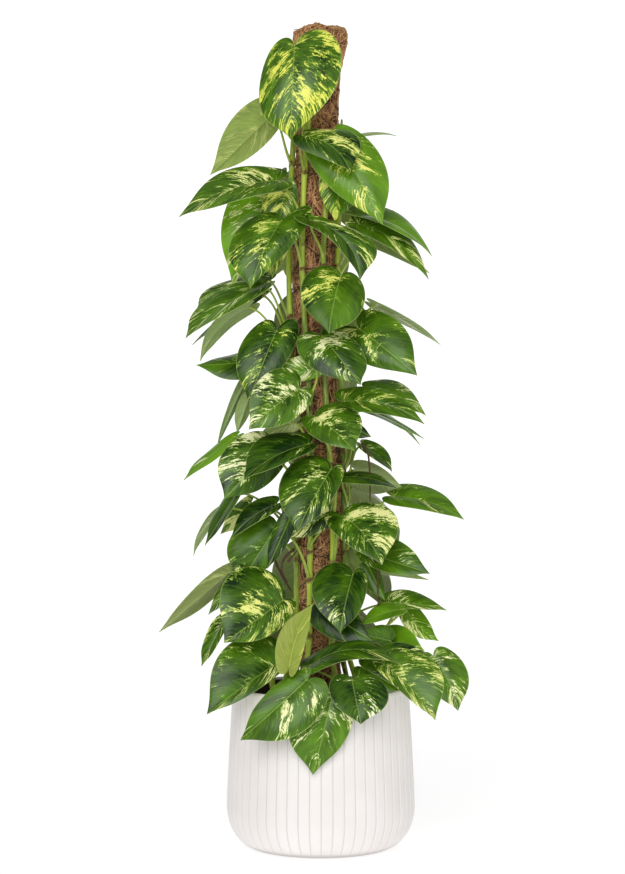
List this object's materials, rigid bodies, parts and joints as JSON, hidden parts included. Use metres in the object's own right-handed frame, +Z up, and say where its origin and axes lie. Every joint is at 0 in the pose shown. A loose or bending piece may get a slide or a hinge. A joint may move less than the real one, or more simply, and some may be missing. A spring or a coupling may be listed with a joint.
{
  "type": "potted golden pothos",
  "caption": "Golden pothos house plant climbing a coir pole, heart-shaped variegated leaves on arching petioles, in a tall round pleated white pot filled with soil.",
  "frame": {"origin": "centre of the pot's flat underside", "axes": "+Z up along the pot's axis, -Y towards the front that the fullest leaves face"},
  "size_m": [0.4542, 0.3672, 1.2272],
  "materials": {
    "pot_glaze": "matt white glaze",
    "potting_soil": "loose, damp and dark",
    "stake_wood": "rough sawn",
    "coir_fibre": "matted brown fibre",
    "pothos_leaf": "waxy leaf with yellow and cream streaks"
  },
  "bodies": {
    "root": {"pot": "pot_glaze", "soil": "potting_soil", "pole_stake": "stake_wood", "coir_pole": "coir_fibre", "vine_left": "pothos_leaf", "vine_front_left": "pothos_leaf", "vine_front_right": "pothos_leaf", "vine_right": "pothos_leaf", "vine_back_right": "pothos_leaf", "vine_back": "pothos_leaf", "vine_back_left": "pothos_leaf", "vine_low_right": "pothos_leaf", "vine_low_left": "pothos_leaf"}
  },
  "joints": []
}
